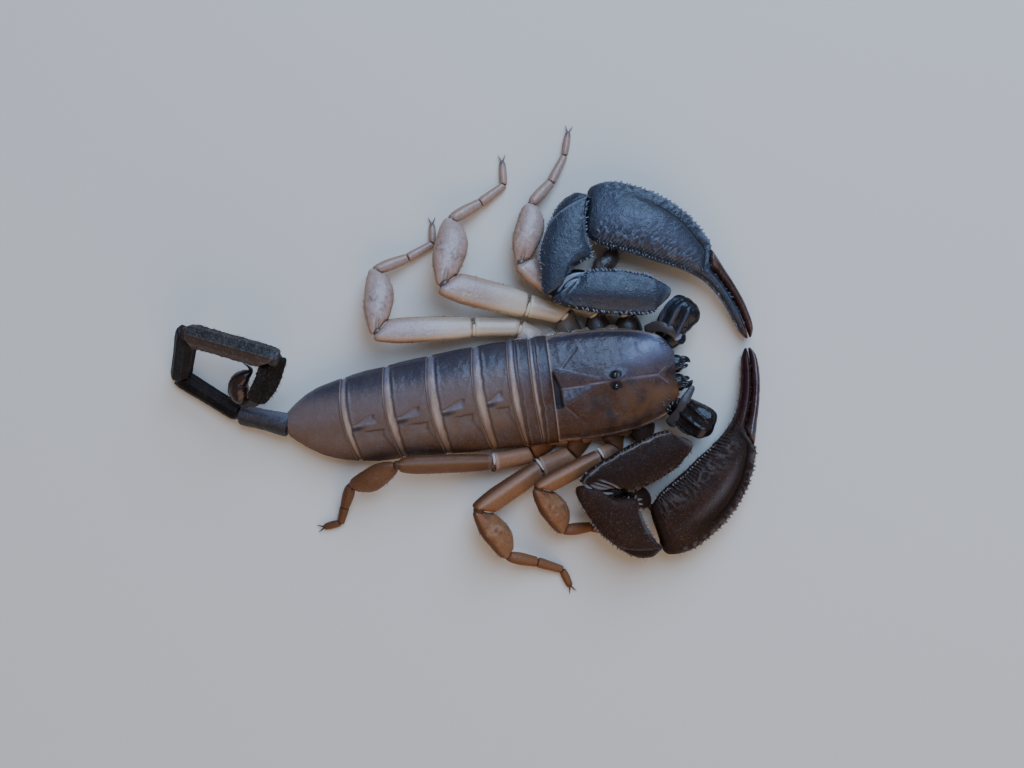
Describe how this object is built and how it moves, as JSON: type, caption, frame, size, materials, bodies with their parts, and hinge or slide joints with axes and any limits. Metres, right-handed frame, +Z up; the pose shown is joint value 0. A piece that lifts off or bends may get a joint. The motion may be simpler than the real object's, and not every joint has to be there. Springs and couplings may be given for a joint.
{
  "type": "scorpion",
  "caption": "Flat-bodied rock scorpion at rest, with long flat pincers drawn round in front, splayed legs and a thin tail curled on its side.",
  "frame": {"origin": "on the floor, below the middle of the bounding box", "axes": "+X to the animal's left, -Y forward, +Z up"},
  "size_m": [0.0692, 0.0888, 0.0134],
  "materials": {
    "shell": "dark brown back plates, finely grained, with a soft cool sheen",
    "pincer": "slate-dark shell with fine granules and toothed edges",
    "finger": "dark red-brown, smooth",
    "tail": "near black, ridged and granular",
    "sting": "dark red-brown, smooth, black at the point",
    "leg": "taupe to olive-brown, thin-shelled, with amber edges and pale joints",
    "lens": "polished black lens",
    "belly": "pale tan-brown, smooth"
  },
  "bodies": {
    "root": {"carapace": "shell", "trunk_ring_1": "shell", "trunk_ring_2": "shell", "trunk_ring_3": "shell", "trunk_ring_4": "shell", "trunk_ring_5": "shell", "trunk_ring_6": "shell", "trunk_ring_7": "shell", "median_eye_left": "lens", "median_eye_right": "lens", "lateral_eyes_left": "lens", "lateral_eyes_right": "lens", "chelicera_left": "pincer", "chelicera_right": "pincer", "pectine_left": "belly", "pectine_right": "belly", "coxal_plate": "belly", "tail_1": "tail", "tail_2": "tail", "tail_3": "tail", "tail_4": "tail", "tail_5": "tail", "telson": "sting", "pincer_left_trochanter": "pincer", "pincer_left_femur": "pincer", "pincer_left_patella": "pincer", "pincer_left_palm": "pincer", "pincer_left_finger": "finger", "leg_left_1_femur": "leg", "leg_left_1_patella": "leg", "leg_left_1_foot": "leg", "leg_left_2_femur": "leg", "leg_left_2_patella": "leg", "leg_left_2_foot": "leg", "leg_left_3_femur": "leg", "leg_left_3_patella": "leg", "leg_left_3_foot": "leg", "leg_left_4_femur": "leg", "leg_left_4_patella": "leg", "leg_left_4_foot": "leg", "pincer_right_trochanter": "pincer", "pincer_right_femur": "pincer", "pincer_right_patella": "pincer", "pincer_right_palm": "pincer", "pincer_right_finger": "finger", "leg_right_1_femur": "leg", "leg_right_1_patella": "leg", "leg_right_1_foot": "leg", "leg_right_2_femur": "leg", "leg_right_2_patella": "leg", "leg_right_2_foot": "leg", "leg_right_3_femur": "leg", "leg_right_3_patella": "leg", "leg_right_3_foot": "leg", "leg_right_4_femur": "leg", "leg_right_4_patella": "leg", "leg_right_4_foot": "leg"}
  },
  "joints": []
}
